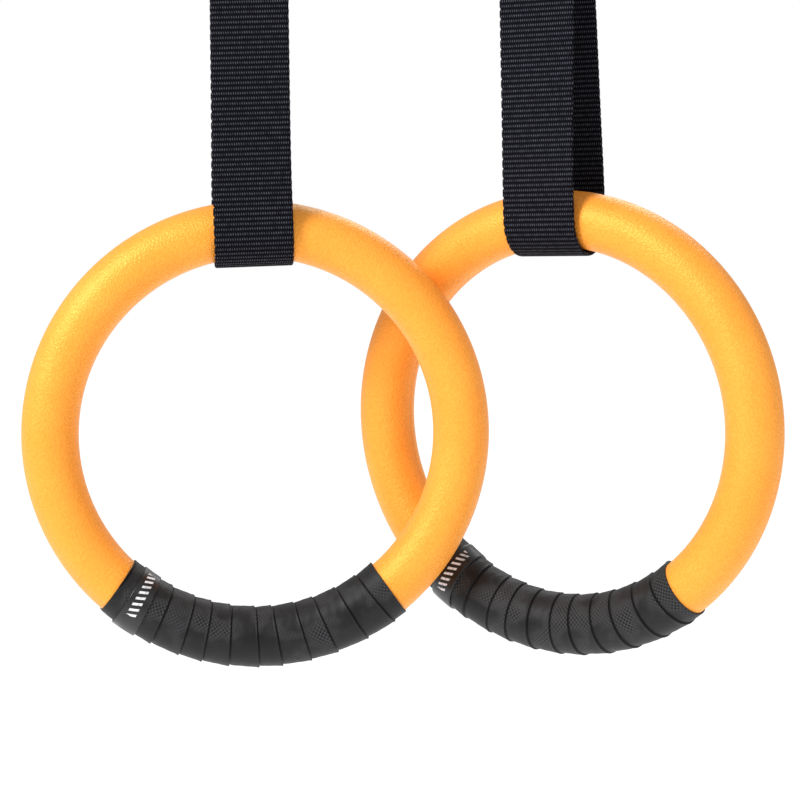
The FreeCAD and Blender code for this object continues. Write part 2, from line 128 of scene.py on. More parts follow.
def new_material(name, colour, roughness, **sockets):
    material = bpy.data.materials.new(name)
    material.use_nodes = True
    shader = material.node_tree.nodes["Principled BSDF"]
    shader.inputs["Base Color"].default_value = (*colour, 1)
    shader.inputs["Roughness"].default_value = roughness
    for socket, value in sockets.items():
        shader.inputs[socket.replace("_", " ")].default_value = value
    return material, material.node_tree, shader


def add(tree, kind, **values):
    """A node with its properties set. A value for an input socket is given under its number, as i0, i1."""
    node = tree.nodes.new(kind)
    for key, value in values.items():
        if key[0] == "i" and key[1:].isdigit():
            socket = node.inputs[int(key[1:])]
            if hasattr(value, "links"):
                tree.links.new(value, socket)
            else:
                socket.default_value = value
        else:
            setattr(node, key, value)
    return node


def maths(tree, operation, a, b=0.0, c=0.0):
    return add(tree, "ShaderNodeMath", operation=operation, i0=a, i1=b, i2=c).outputs[0]


def ramp(tree, value, stops):
    """A colour ramp from a value. Each stop is its place and its grey or colour."""
    node = add(tree, "ShaderNodeValToRGB", i0=value)
    elements = node.color_ramp.elements
    while len(elements) < len(stops):
        elements.new(0.5)
    for element, (place, colour) in zip(elements, stops):
        element.position = place
        element.color = (colour, colour, colour, 1) if isinstance(colour, float) else (*colour, 1)
    return node.outputs[0]


def blend_colours(tree, share, first, second):
    node = add(tree, "ShaderNodeMix", data_type="RGBA")
    for socket, value in ((node.inputs[0], share), (node.inputs[6], first), (node.inputs[7], second)):
        if hasattr(value, "links"):
            tree.links.new(value, socket)
        elif isinstance(value, tuple):
            socket.default_value = (*value, 1)
        else:
            socket.default_value = value
    return node.outputs[2]


def bump(tree, shader, height, distance, strength=1.0):
    node = add(tree, "ShaderNodeBump")
    node.inputs["Strength"].default_value = strength
    node.inputs["Distance"].default_value = distance
    tree.links.new(height, node.inputs["Height"])
    tree.links.new(node.outputs[0], shader.inputs["Normal"])


def noise(tree, vector, scale, detail=2.0, roughness=0.5):
    node = add(tree, "ShaderNodeTexNoise")
    tree.links.new(vector, node.inputs["Vector"])
    node.inputs["Scale"].default_value = scale
    node.inputs["Detail"].default_value = detail
    node.inputs["Roughness"].default_value = roughness
    return node.outputs["Fac"]


def between(tree, value, low, high):
    """1 where a value lies between two limits, and 0 elsewhere."""
    above = maths(tree, "GREATER_THAN", value, low)
    below = maths(tree, "LESS_THAN", value, high)
    return maths(tree, "MULTIPLY", above, below)


def object_place(tree):
    return add(tree, "ShaderNodeTexCoord").outputs["Object"]


def surface_place(tree):
    """The two texture coordinates, in metres along the surface."""
    uv = add(tree, "ShaderNodeUVMap", uv_map="metres").outputs[0]
    parts = add(tree, "ShaderNodeSeparateXYZ", i0=uv)
    return parts.outputs[0], parts.outputs[1]


def ring_plastic():
    """Orange-yellow moulded plastic with a fine pebbled grain."""
    material, tree, shader = new_material("ring_plastic", (1.0, 0.40, 0.055), 0.46)
    shader.inputs["Specular IOR Level"].default_value = 0.9
    shader.inputs["Specular Tint"].default_value = (1.0, 0.80, 0.22, 1)
    place = object_place(tree)
    cells = add(tree, "ShaderNodeTexVoronoi", feature="SMOOTH_F1")
    tree.links.new(place, cells.inputs["Vector"])
    cells.inputs["Scale"].default_value = 900
    cells.inputs["Smoothness"].default_value = 0.5
    pebbles = cells.outputs["Distance"]
    fine = noise(tree, place, 1300, 3.0, 0.6)
    height = maths(tree, "MULTIPLY_ADD", pebbles, -1.2, fine)
    clouds = noise(tree, place, 30, 3.0)
    cloudy = ramp(tree, clouds, [(0.3, 0.0), (0.7, 1.0)])
    tint = blend_colours(tree, cloudy, (1.0, 0.345, 0.040), (1.0, 0.385, 0.052))
    grain = ramp(tree, pebbles, [(0.1, (1.0, 1.0, 1.0)), (0.62, (0.82, 0.76, 0.70))])
    mixed = add(tree, "ShaderNodeMix", data_type="RGBA", blend_type="MULTIPLY")
    mixed.inputs[0].default_value = 0.7
    tree.links.new(tint, mixed.inputs[6])
    tree.links.new(grain, mixed.inputs[7])
    tree.links.new(mixed.outputs[2], shader.inputs["Base Color"])
    tree.links.new(ramp(tree, fine, [(0.3, 0.36), (0.7, 0.50)]), shader.inputs["Roughness"])
    bump(tree, shader, height, 0.22 * MM, 0.8)
    return material


DIAMOND = 2.2 * MM


def grip_rubber():
    """Matte dark grey grip tape: patches of embossed diamonds with their lattice lines painted lighter as a
    painted highlight, and a painted shade line at each turn's edge.
    """
    material, tree, shader = new_material("grip_tape", (0.022, 0.022, 0.024), 0.55)
    shader.inputs["Specular IOR Level"].default_value = 0.24
    along, around = surface_place(tree)
    waves = math.pi / DIAMOND
    plus = maths(tree, "SINE", maths(tree, "MULTIPLY", maths(tree, "ADD", along, around), waves))
    minus = maths(tree, "SINE", maths(tree, "MULTIPLY", maths(tree, "SUBTRACT", along, around), waves))
    diamonds = maths(tree, "ABSOLUTE", maths(tree, "MULTIPLY", plus, minus))
    place = object_place(tree)
    # The patches lie mostly on the upper part of the side that faces forwards, where the lattice lines get a
    # painted highlight.
    offset = maths(tree, "DIVIDE", maths(tree, "SUBTRACT", around, 0.42 * math.pi * TUBE_RADIUS), 7 * MM)
    band = maths(tree, "EXPONENT", maths(tree, "MULTIPLY", maths(tree, "MULTIPLY", offset, offset), -1.0))
    spread = maths(tree, "MULTIPLY_ADD", band, 0.11, noise(tree, place, 55, 2.0))
    emboss_and_highlight_patches = ramp(tree, spread, [(0.53, 0.0), (0.68, 1.0)])
    pressed = maths(tree, "MULTIPLY", ramp(tree, diamonds, [(0.12, 0.0), (0.45, 1.0)]), emboss_and_highlight_patches)
    fibres = noise(tree, place, 900, 3.0, 0.65)
    height = maths(tree, "MULTIPLY_ADD", pressed, -1.4, fibres)
    smears = noise(tree, place, 55, 4.0, 0.62)
    smeared = ramp(tree, smears, [(0.36, 0.0), (0.70, 1.0)])
    base = blend_colours(tree, smeared, (0.0055, 0.0055, 0.0062), (0.019, 0.019, 0.0205))
    # Painted highlight: the patches are painted lighter while the pressed diamonds stay dark, so the lattice lines
    # look lit on the upper front.
    lattice_painted_highlight = blend_colours(tree, maths(tree, "MULTIPLY", emboss_and_highlight_patches, 0.6), base, (0.062, 0.062, 0.065))
    dots = blend_colours(tree, pressed, lattice_painted_highlight, (0.005, 0.005, 0.006))
    # Painted shade: the tape is darkened to black along each turn's edge, where the step down to the next turn
    # lies in shade.
    edge = add(tree, "ShaderNodeAttribute", attribute_name="turn_edge_painted_shade").outputs["Fac"]
    painted_edge_shade_colour = blend_colours(tree, edge, dots, (0.0, 0.0, 0.0))
    tree.links.new(painted_edge_shade_colour, shader.inputs["Base Color"])
    tree.links.new(ramp(tree, smears, [(0.3, 0.46), (0.7, 0.66)]), shader.inputs["Roughness"])
    bump(tree, shader, height, 0.14 * MM, 0.9)
    return material


BAR_PITCH = 2.9 * MM  # of the printed bars, round the section
BARS_FROM, BARS_TO = 2.9 * MM, 7.6 * MM  # across the strip


def strip_gloss():
    """Glossy black finishing strip with a printed row of plain slanted bars in place of any lettering."""
    material, tree, shader = new_material("finishing_strip", (0.004, 0.004, 0.005), 0.3)
    along, around = surface_place(tree)
    slanted = maths(tree, "MULTIPLY_ADD", along, 0.45, around)
    phase = maths(tree, "FRACT", maths(tree, "DIVIDE", slanted, BAR_PITCH))
    bar = maths(tree, "LESS_THAN", phase, 0.42)
    inside = between(tree, along, BARS_FROM, BARS_TO)
    low, high = 0.10 * math.pi * TUBE_RADIUS, 0.62 * math.pi * TUBE_RADIUS
    front = between(tree, around, low, high)
    printed = maths(tree, "MULTIPLY", bar, maths(tree, "MULTIPLY", inside, front))
    wear = ramp(tree, noise(tree, object_place(tree), 700, 3.0), [(0.36, 0.55), (0.5, 1.0)])
    share = maths(tree, "MULTIPLY", printed, wear)
    colour = blend_colours(tree, share, (0.004, 0.004, 0.005), (0.72, 0.72, 0.74))
    tree.links.new(colour, shader.inputs["Base Color"])
    scuffs = noise(tree, object_place(tree), 160, 4.0, 0.6)
    tree.links.new(ramp(tree, scuffs, [(0.3, 0.24), (0.75, 0.5)]), shader.inputs["Roughness"])
    bump(tree, shader, scuffs, 0.05 * MM, 0.5)
    return material


RIB_PITCH = 2.45 * MM
THREAD_PITCH = 1.15 * MM


def webbing():
    """Black woven webbing: cross ribs, each a row of short warp threads, with a painted highlight on the thread
    crests.
    """
    material, tree, shader = new_material("webbing", (0.010, 0.010, 0.013), 0.7)
    shader.inputs["Specular IOR Level"].default_value = 0.08
    across, along = surface_place(tree)
    rib_number = maths(tree, "FLOOR", maths(tree, "DIVIDE", along, RIB_PITCH))
    stagger = maths(tree, "MULTIPLY", maths(tree, "MODULO", rib_number, 2.0), 0.5)
    lean = maths(tree, "DIVIDE", along, RIB_PITCH * 3.2)
    straight_column = maths(tree, "DIVIDE", across, THREAD_PITCH)
    column = maths(tree, "ADD", straight_column, maths(tree, "ADD", stagger, lean))
    thread = maths(tree, "ABSOLUTE", maths(tree, "SINE", maths(tree, "MULTIPLY", column, math.pi)))
    rib = maths(tree, "FRACT", maths(tree, "DIVIDE", along, RIB_PITCH))
    crest = maths(tree, "SINE", maths(tree, "MULTIPLY", rib, math.pi))
    place = object_place(tree)
    uneven = noise(tree, place, 420, 2.0)
    # Painted highlight: the crests of the threads are painted lighter, and made less rough, as if they caught the
    # light.
    painted_crest_highlight = maths(tree, "MULTIPLY", maths(tree, "POWER", thread, 4.0), maths(tree, "POWER", crest, 4.0))
    painted_crest_highlight = maths(tree, "MULTIPLY", painted_crest_highlight, ramp(tree, uneven, [(0.3, 0.35), (0.62, 1.0)]))
    fibre = noise(tree, place, 2600, 2.0)
    tone = blend_colours(tree, painted_crest_highlight, (0.0010, 0.0011, 0.0030), (0.082, 0.084, 0.104))
    tree.links.new(tone, shader.inputs["Base Color"])
    tree.links.new(ramp(tree, painted_crest_highlight, [(0.0, 0.82), (1.0, 0.5)]), shader.inputs["Roughness"])
    height = maths(tree, "MULTIPLY_ADD", fibre, 0.25, maths(tree, "MULTIPLY", thread, crest))
    bump(tree, shader, height, 0.22 * MM, 0.85)
    return material


def thread():
    material, tree, shader = new_material("thread", (0.055, 0.056, 0.062), 0.5)
    place = object_place(tree)
    twist = noise(tree, place, 3500, 2.0)
    colour = blend_colours(tree, twist, (0.03, 0.03, 0.034), (0.11, 0.11, 0.12))
    tree.links.new(colour, shader.inputs["Base Color"])
    bump(tree, shader, twist, 0.08 * MM, 0.7)
    return material


def metal(name, colour, roughness, worn, scale):
    """Plated metal with fine drawn lines and a little cloudiness."""
    material, tree, shader = new_material(name, colour, roughness, Metallic=1.0)
    place = object_place(tree)
    stretched = add(tree, "ShaderNodeMapping")
    tree.links.new(place, stretched.inputs["Vector"])
    stretched.inputs["Scale"].default_value = (0.12, 1.0, 1.0)
    lines = noise(tree, stretched.outputs[0], scale, 3.0, 0.6)
    clouds = noise(tree, place, 90, 4.0, 0.6)
    tree.links.new(blend_colours(tree, clouds, colour, worn), shader.inputs["Base Color"])
    dulled = ramp(tree, clouds, [(0.3, roughness - 0.08), (0.7, roughness + 0.12)])
    tree.links.new(dulled, shader.inputs["Roughness"])
    bump(tree, shader, lines, 0.03 * MM, 0.5)
    return material


def coated_cam():
    """Black coated casting, with the coating rubbed thin in places."""
    material, tree, shader = new_material("cam_metal", (0.018, 0.018, 0.019), 0.42)
    place = object_place(tree)
    grain = noise(tree, place, 1100, 3.0, 0.6)
    scratched = add(tree, "ShaderNodeMapping")
    tree.links.new(place, scratched.inputs["Vector"])
    scratched.inputs["Scale"].default_value = (0.25, 1.0, 1.6)
    rub = ramp(tree, noise(tree, scratched.outputs[0], 330, 5.0, 0.7), [(0.66, 0.0), (0.80, 0.6)])
    colour = blend_colours(tree, rub, (0.018, 0.018, 0.019), (0.24, 0.24, 0.25))
    tree.links.new(colour, shader.inputs["Base Color"])
    tree.links.new(rub, shader.inputs["Metallic"])
    tree.links.new(ramp(tree, grain, [(0.3, 0.34), (0.7, 0.52)]), shader.inputs["Roughness"])
    bump(tree, shader, grain, 0.06 * MM, 0.6)
    return material


MATERIALS = {
    "ring_plastic": ring_plastic(),
    "grip_tape": grip_rubber(),
    "finishing_strip": strip_gloss(),
    "webbing": webbing(),
    "thread": thread(),
    "buckle_steel": metal("buckle_steel", (0.30, 0.30, 0.31), 0.32, (0.42, 0.415, 0.40), 1800),
    "pin_steel": metal("pin_steel", (0.40, 0.40, 0.41), 0.26, (0.31, 0.31, 0.30), 2600),
    "cam_metal": coated_cam(),
    "spring_steel": metal("spring_steel", (0.28, 0.28, 0.29), 0.28, (0.38, 0.375, 0.37), 3000),
}


def finish_piece(piece, body, slot, *replaced):
    """Give a piece its material, the body it rides on and the CAD nodes it stands for."""
    piece.data.materials.append(MATERIALS[slot])
    if body:
        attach(piece, body)
    if replaced:
        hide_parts(*replaced)
    return piece


# ------------------------------------------------------------------ the rings


class Ring:
    """Where one ring is at rest: its centre, its directions and its tube's radius about the ring's axis."""

    def __init__(self, side):
        front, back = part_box(side + "_ring_front_shell"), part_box(side + "_ring_back_shell")
        low = np.minimum(front[0], back[0])
        high = np.maximum(front[1], back[1])
        self.centre = (low + high) / 2
        self.radius = (high[2] - low[2]) / 2 - TUBE_RADIUS
        self.right = np.array(joints[side + "_tilt"]["axis"])
        self.yaw = math.atan2(self.right[1], self.right[0])
        self.front = np.array([self.right[1], -self.right[0], 0.0])
        self.up = np.array([0.0, 0.0, 1.0])

    def point(self, along, around, distance):
        """A point by its angle from straight down, its angle about the tube (0 inside, pi/2 front) and its
        distance from the tube's middle. The angles and distances are arrays of one shape."""
        outwards = -np.cos(around) * distance
        reach = self.radius + outwards
        forwards = np.sin(around) * distance
        return (
            self.centre
            + (np.sin(along) * reach)[..., None] * self.right
            - (np.cos(along) * reach)[..., None] * self.up
            + forwards[..., None] * self.front
        )


def ring_shell(side, ring, front):
    """One welded half of the ring: a thick half tube with a slightly eased edge at the seam."""
    steps = 432
    sign = 1 if front else -1
    ease = 0.25 * MM
    lift = SEAM_GAP / 2
    outline = []
    first = math.asin((lift + ease) / TUBE_RADIUS)
    inner = TUBE_RADIUS - RING_WALL
    inner_first = math.asin(lift / inner)
    outline.append((math.asin(lift / (TUBE_RADIUS - ease * 0.5)), TUBE_RADIUS - ease * 0.5))
    for a in np.linspace(first, math.pi - first, 49):
        outline.append((a, TUBE_RADIUS))
    outline.append((math.pi - outline[0][0], outline[0][1]))
    for a in np.linspace(math.pi - inner_first, inner_first, 17):
        outline.append((a, inner))
    around = sign * np.array([a for a, d in outline])
    distance = np.array([d for a, d in outline])
    along = np.linspace(0, 2 * math.pi, steps, endpoint=False)
    flat = 0 * along[:, None]
    grid = ring.point(along[:, None] + 0 * around, around + flat, distance + flat)
    faces = grid_faces(steps, len(outline), closed_rows=True)
    if not front:
        faces = [f[::-1] for f in faces]
    name = f"{side}_ring_{'front' if front else 'back'}"
    piece = mesh_piece(name, grid.reshape(-1, 3), faces)
    return finish_piece(piece, side + "_ring", "ring_plastic", name + "_shell")


# Places along the ring are in degrees from straight down, positive to the ring's right.
TAPE_FROM, TAPE_TO = -45.35, 38.15
STRIP_FROM, STRIP_TO = -41.3, -35.1
TAPE_TURNED = {"left": 0.0, "right": 1.3}
TAPE_SEED = {"left": 7, "right": 23}
# Where each turn of the tape ends, along the ring's inside.
TURN_EDGES = (-53, -46, -38.5, -30.9, -23.4, -17.5, -10.8, -3.1, 2.7, 9.8, 16.6, 24.8, 32.4, 39.5, 47)


def tape_turns(along, around, edges):
    """How many turns of tape lie to the left of a place, with its share of its own turn as the fraction."""
    numbers = np.interp(along, edges, np.arange(len(edges)))
    half_turns = np.mod(around, 2 * math.pi) / math.pi
    advance = np.interp(half_turns, [0, 1, 2], [0, 0.25, 1])  # the front lies nearly square, the back slants
    return numbers - advance


def tape_height(turns, around):
    """The tape's thickness: each turn climbs to the right over the one before and ends in a raised edge."""
    share = np.mod(turns, 1.0)
    low, high = 0.70 * MM, 1.34 * MM
    height = low + (high - low) * share**0.85
    lip = np.clip((share - 0.88) / 0.08, 0, 1) * 0.20 * MM
    fall = np.clip((share - 0.965) / 0.035, 0, 1) ** 1.5
    groove = 0.30 * MM * np.exp(-((share / 0.035) ** 2))
    height = (height + lip) * (1 - fall) + (low - 0.22 * MM) * fall - groove
    chord = 4 * share * (1 - share) * 0.16 * MM
    return height + chord * np.cos(around)


def grip_tape(side, ring, turned, seed):
    """The overlapped helical wrap of grip tape, turned a little about the ring's axis."""
    rows, columns = 800, 112
    random.seed(seed)
    edges = np.radians([a + turned + random.uniform(-0.4, 0.4) for a in TURN_EDGES])
    first, last = math.radians(TAPE_FROM + turned), math.radians(TAPE_TO + turned)
    share = np.linspace(0, 1, rows)[:, None]
    around = np.linspace(0, 2 * math.pi, columns, endpoint=False)[None, :]
    # The cut ends aren't quite square: the tape reaches further round on the ring's inside.
    lean = -math.radians(1.1) * (1 - share) ** 10 + math.radians(0.65) * share**10
    along = first + (last - first) * share + lean * np.cos(around)
    around = around + 0 * along
    turns = tape_turns(along, around, edges)
    ripple = 0.06 * MM * np.sin(along * 91 + around * 3) * np.sin(around * 2 + along * 37)
    distance = TUBE_RADIUS + GRIP_GAP + tape_height(turns, around) + ripple
    grid = ring.point(along, around, distance)
    bottom = ring.point(along[[0, -1]], around[[0, -1]], np.full((2, columns), TUBE_RADIUS + GRIP_GAP))
    grid = np.concatenate([bottom[:1], grid, bottom[1:]])
    uv = np.stack([along * ring.radius, around * TUBE_RADIUS], axis=-1)
    uv = np.concatenate([uv[:1], uv, uv[-1:]])
    piece = capped_tube(side + "_tape_wrap", grid, uv)
    # A mask of painted shade along each turn's edge, which the tape's material darkens to black.
    share = np.mod(turns, 1.0)
    edge = np.exp(-((share / 0.035) ** 2)) + np.clip((share - 0.965) / 0.02, 0, 1)
    edge = np.concatenate([edge[:1], edge, edge[-1:]]).ravel()
    mark = piece.data.attributes.new("turn_edge_painted_shade", "FLOAT", "POINT")
    mark.data.foreach_set("value", np.clip(edge, 0, 1).astype(np.float32))
    return finish_piece(piece, side + "_ring", "grip_tape", side + "_grip_tape")


def finishing_strip(side, ring, turned):
    """The thin glossy band that closes the tape's end, laid round the section."""
    first, last = math.radians(STRIP_FROM + turned), math.radians(STRIP_TO + turned)
    rows, columns = 40, 128
    share = np.linspace(0, 1, rows)[:, None]
    around = np.linspace(0, 2 * math.pi, columns, endpoint=False)[None, :]
    lean = math.radians(1.0) * np.cos(around)
    along = first + (last - first) * share - lean
    edge = np.minimum(share, 1 - share)
    thick = 0.16 * MM + 0.16 * MM * np.sqrt(np.clip(edge / 0.06, 0, 1))
    base = TUBE_RADIUS + GRIP_GAP + 1.62 * MM
    around = around + 0 * along
    outer = ring.point(along, around, base + thick + 0 * along)
    rim = ring.point(along[[0, -1]], around[[0, -1]], np.full((2, columns), base - 0.5 * MM))
    grid = np.concatenate([rim[:1], outer, rim[1:]])
    uv = np.stack([share * (last - first) * ring.radius + 0 * around, around * TUBE_RADIUS], axis=-1)
    uv = np.concatenate([uv[:1], uv, uv[-1:]])
    piece = capped_tube(side + "_closing_strip", grid, uv)
    return finish_piece(piece, side + "_ring", "finishing_strip", side + "_finishing_strip")


# ------------------------------------------------------------------ the webbing

# A route is a list of places in the strap's own upright plane: how far to the back (+) or the
# front (-) of its middle, and how high above the bar's axis.
CAM_TURN = 50  # degrees that the webbing turns under the cam, and back again above it
TAIL_SHIFT = 8 * MM  # from the front run to the free end in front of it
FOLD_RADIUS = 4.1 * MM  # from the webbing pin's axis to the middle of the webbing
FOLD_TOUCH = 18.7  # degrees above level where the webbing leaves the pin
FOLD_TAPER = ((1.1 * MM, -56 * MM), (3.45 * MM, -62.5 * MM))  # half the fold's opening, and its height


def straight(back, *heights):
    """Places on an upright stretch, with their heights in millimetres."""
    return [(back, z * MM) for z in heights]


def bend(centre, radius, first, last, count):
    """The corners of straight lines that touch an arc, which a smooth line through them follows.
    Angles are in degrees, from the back and upwards."""
    step = math.radians(last - first) / count
    reach = radius / math.cos(step / 2)
    angles = [math.radians(first) + step * (i + 0.5) for i in range(count)]
    return [(centre[0] + reach * math.cos(a), centre[1] + reach * math.sin(a)) for a in angles]


def ring_web_route(side, seat_height):
    """Down the back run, round the ring, up the front run and past the cam to the free end."""
    axle = joints[side + "_cam_release"]["pos_m"][1:]
    under = -RUN - axle[0]
    turn = math.radians(CAM_TURN)
    away = TAIL_SHIFT / (1 - math.cos(turn)) - under
    above = (axle[0] + (under + away) * math.cos(turn), axle[1] + (under + away) * math.sin(turn))
    return (
        straight(RUN, -128, -148, -166, -184, -202, -230, -262, -288, -302.6)
        + bend((0, seat_height), RUN, 0, -180, 4)
        + straight(-RUN, -302.6, -288, -262, -230, -202, -184, -166, -148, -128, -106, -87)
        + bend(axle, under, 0, CAM_TURN, 2)
        + bend(above, away, 180 + CAM_TURN, 180, 2)
        + straight(-RUN - TAIL_SHIFT, -60, -40, -18)
    )


def bar_web_route(side):
    """From the sewn end down and round the webbing pin, up the front, over the bar and down the back."""
    low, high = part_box(side + "_webbing_pin")
    pin = ((low + high) / 2)[1:]
    taper_down = [(pin[0] - opening, z) for opening, z in FOLD_TAPER]
    taper_up = [(pin[0] + opening, z) for opening, z in FOLD_TAPER[::-1]]
    return (
        straight(-RUN - WEB_THICK, -14, -30, -48)
        + taper_down
        + bend(pin, FOLD_RADIUS, 180 - FOLD_TOUCH, 360 + FOLD_TOUCH, 5)
        + taper_up
        + straight(-RUN, -48, -30, -14, -7.4)
        + bend((0, 0), RUN, 180, 0, 4)
        + straight(RUN, -7.4, -22, -50, -80, -106, -128)
    )


def smooth_step(x):
    x = min(max(x, 0.0), 1.0)
    return x * x * (3 - 2 * x)


class Strap:
    """Where one strap hangs: upright at the top, and turned and moved towards its ring's seat below."""

    def __init__(self, side, ring):
        self.top_x = joints[side + "_swing"]["pos_m"][0]
        self.seat = np.array(joints[side + "_tilt"]["pos_m"])
        self.yaw = ring.yaw
        self.twist_rise = twist_top - self.seat[2]

    def turn(self, z):
        """How far the webbing is turned about the vertical at a height."""
        rise = z - self.seat[2]
        low_part = TWIST_LOW_SHARE * self.yaw
        if rise <= SADDLE_LEG:
            return self.yaw
        if rise <= TWIST_START:
            return self.yaw - low_part * (rise - SADDLE_LEG) / (TWIST_START - SADDLE_LEG)
        share = (rise - TWIST_START) / (self.twist_rise - TWIST_START)
        return (self.yaw - low_part) * (1 - smooth_step(share))

    def middle(self, z):
        share = (z - self.seat[2] - SADDLE_LEG) / (self.twist_rise - SADDLE_LEG)
        share = min(max(share, 0.0), 1.0)
        return self.seat[:2] + (np.array([self.top_x, 0.0]) - self.seat[:2]) * share

    def place(self, back, z):
        turn = self.turn(z)
        x, y = self.middle(z)
        return Vector((x - math.sin(turn) * back, y + math.cos(turn) * back, z))

    def across(self, z):
        turn = self.turn(z)
        return np.array([math.cos(turn), math.sin(turn), 0.0])


def nurbs_line(name, points):
    """The points of a smooth line through a route, read from a NURBS curve with no bevel."""
    curve = bpy.data.curves.new(name, "CURVE")
    curve.dimensions = "3D"
    spline = curve.splines.new("NURBS")
    spline.points.add(len(points) - 1)
    for point, place in zip(spline.points, points):
        point.co = (*place, 1)
    spline.order_u = 3
    spline.use_endpoint_u = True
    spline.resolution_u = 24
    obj = new_object(name, curve)
    bpy.context.view_layer.update()
    mesh = bpy.data.meshes.new_from_object(obj)
    line = np.array([v.co for v in mesh.vertices])
    bpy.data.objects.remove(obj)
    bpy.data.curves.remove(curve)
    bpy.data.meshes.remove(mesh)
    return line


def even_line(line, step):
    """The same line with its points a step apart."""
    gaps = np.linalg.norm(np.diff(line, axis=0), axis=1)
    keep = np.concatenate([[True], gaps > 1e-9])
    line = line[keep]
    gaps = np.linalg.norm(np.diff(line, axis=0), axis=1)
    run = np.concatenate([[0], np.cumsum(gaps)])
    count = int(run[-1] / step) + 1
    spots = np.linspace(0, run[-1], count)
    return np.stack([np.interp(spots, run, line[:, i]) for i in range(3)], axis=1), spots


RIB_STEPS = 8
RIB_DEPTH = 0.42 * MM
SCALLOP = 0.75 * MM
SEAT_FLARE = 0.5 * MM  # on each edge, where the ring's weight presses the webbing flat
SEAT_FLARE_REACH = 34 * MM


def web_outline():
    """The webbing's section, half turn by half turn: across from -1 to 1 and through from -1 to 1."""
    flat = np.linspace(-0.95, 0.95, 17)
    round_edge = [(0.985, 0.72), (1.0, 0.25), (1.0, -0.25), (0.985, -0.72)]
    outline = [(x, 1.0) for x in flat]
    outline += round_edge
    outline += [(x, -1.0) for x in flat[::-1]]
    outline += [(-x, -y) for x, y in round_edge]
    return np.array(outline)


def webbing_piece(name, strap, route, phase=0.0):
    """A ribbed ribbon that follows a route. Returns the piece, its line and its length."""
    points = [strap.place(back, z) for back, z in route]
    line, spots = even_line(nurbs_line(name + "_route", points), RIB_PITCH / RIB_STEPS)
    ahead = np.gradient(line, axis=0)
    ahead /= np.linalg.norm(ahead, axis=1)[:, None]
    across = np.array([strap.across(z) for z in line[:, 2]])
    through = np.cross(across, ahead)
    through /= np.linalg.norm(through, axis=1)[:, None]
    wander = 0.10 * MM * np.sin(spots * 95 + phase) + 0.06 * MM * np.sin(spots * 233 + 2 * phase)
    share = np.mod((spots + wander) / RIB_PITCH, 1.0) * 2 - 1
    crest = np.sqrt(np.clip(1 - 0.97 * share**2, 0, 1))
    fade = np.clip(np.minimum(spots, spots[-1] - spots) / (1.5 * MM), 0.15, 1)
    half_thick = (WEB_THICK / 2 - RIB_DEPTH * (1 - crest)) * np.sqrt(fade)
    pressed = np.exp(-(((line[:, 2] - strap.seat[2]) / SEAT_FLARE_REACH) ** 2))
    half_wide = web_width / 2 - 0.15 * MM * (1 - crest) + SEAT_FLARE * pressed
    pair_share = np.mod((spots + wander) / (2 * RIB_PITCH), 1.0) * 2 - 1
    loops = np.sqrt(np.clip(1 - pair_share**2, 0, 1))
    left_edge = half_wide - SCALLOP * (1 - loops)
    right_edge = half_wide - 0.4 * SCALLOP * (1 - loops[::-1])
    outline = web_outline()
    reach = np.where(outline[:, 0][None, :] < 0, left_edge[:, None], right_edge[:, None])
    grid = (
        line[:, None, :]
        + across[:, None, :] * (outline[:, 0][None, :] * reach)[..., None]
        + through[:, None, :] * (outline[:, 1][None, :] * half_thick[:, None])[..., None]
    )
    wide = np.broadcast_to(outline[:, 0] * web_width / 2, grid.shape[:2])
    far = np.broadcast_to((spots + wander)[:, None], grid.shape[:2])
    piece = capped_tube(name, grid, np.stack([wide, far], axis=-1))
    return piece, line, spots[-1]


def straps(side, ring):
    """The two pieces of webbing of one side."""
    strap = Strap(side, ring)
    route = ring_web_route(side, strap.seat[2])
    lower, line, length = webbing_piece(side + "_ring_web", strap, route, 0.4)
    finish_piece(
        lower, None, "webbing",
        *[f"{side}_strap_{n}" for n in ("saddle", "front_run", "back_run", "tail")],
    )
    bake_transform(lower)
    upper, line, length = webbing_piece(side + "_bar_web", strap, bar_web_route(side), 1.3)
    finish_piece(
        upper, None, "webbing",
        *[f"{side}_strap_{n}" for n in ("bar_wrap", "upper_back", "sewn_end")],
    )
    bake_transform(upper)


# ------------------------------------------------------------------ small pieces


def capsule(start, end, radius, rings=5, sides=8, taper=0.5):
    """The points and faces of a round bar that narrows towards its ends, over a share of its length."""
    start, end = np.array(start), np.array(end)
    ahead = (end - start) / np.linalg.norm(end - start)
    side = np.cross(ahead, [0.0, 1.0, 0.0])
    if np.linalg.norm(side) < 0.1:
        side = np.cross(ahead, [1.0, 0.0, 0.0])
    side /= np.linalg.norm(side)
    other = np.cross(ahead, side)
    points = []
    for i in range(rings):
        share = i / (rings - 1)
        near_end = min(min(share, 1 - share) / taper, 1.0)
        wide = radius * (0.45 + 0.55 * math.sin(math.pi / 2 * near_end))
        for k in range(sides):
            a = 2 * math.pi * k / sides
            out = math.cos(a) * side + math.sin(a) * other
            points.append(start + (end - start) * share + wide * out)
    faces = grid_faces(rings, sides)
    faces.append(tuple(range(sides))[::-1])
    faces.append(tuple((rings - 1) * sides + k for k in range(sides)))
    return points, faces


def stitches(side):
    """The rows of thread that hold the sewn end."""
    low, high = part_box(side + "_stitching")
    face = (low[1] + high[1]) / 2
    columns, rows = 8, 6
    pitch = (high[0] - low[0]) / columns
    points, faces = [], []
    for r in range(rows):
        z = low[2] + (high[2] - low[2]) * r / (rows - 1)
        for c in range(columns):
            x = low[0] + pitch * (c + 0.5)
            tilt = 0.25 * MM * (-1) ** r
            y = face + 0.12 * MM
            p, f = capsule((x - pitch * 0.44, y, z - tilt), (x + pitch * 0.44, y, z + tilt), 0.36 * MM)
            faces += [tuple(i + len(points) for i in one) for one in f]
            points += p
    piece = mesh_piece(side + "_thread_rows", points, faces)
    return finish_piece(piece, side + "_strap", "thread", side + "_stitching")


